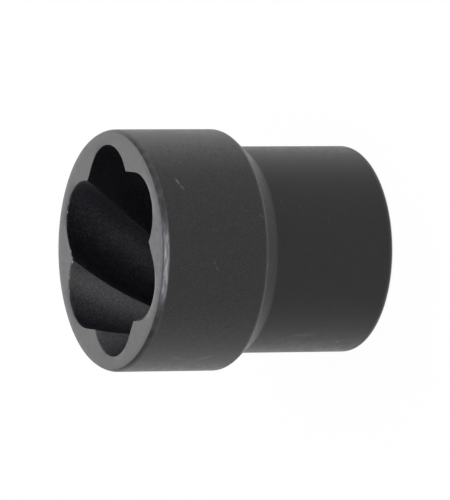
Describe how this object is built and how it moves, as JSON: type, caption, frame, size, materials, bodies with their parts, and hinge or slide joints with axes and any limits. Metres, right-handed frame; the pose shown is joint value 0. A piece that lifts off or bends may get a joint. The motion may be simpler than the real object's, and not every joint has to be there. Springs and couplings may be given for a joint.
{
  "type": "screw extractor socket",
  "caption": "Short stepped socket with tapering left-hand spiral flutes in its mouth for gripping rounded-off nuts and bolt heads, and a through square for a ratchet.",
  "frame": {"origin": "centre of the flat drive-end face, on the socket's axis: the socket stands on this face", "axes": "+Z along the axis, from the drive end out of the fluted mouth; on the mouth's face one of the crests between the flutes points to -Y; the drive square's flats face X and Y"},
  "size_m": [0.028, 0.028, 0.0308],
  "materials": {
    "socket": "matt black phosphated alloy steel, worn to bare metal on the outer edges"
  },
  "bodies": {
    "root": {"screw_extractor": "socket"}
  },
  "joints": []
}
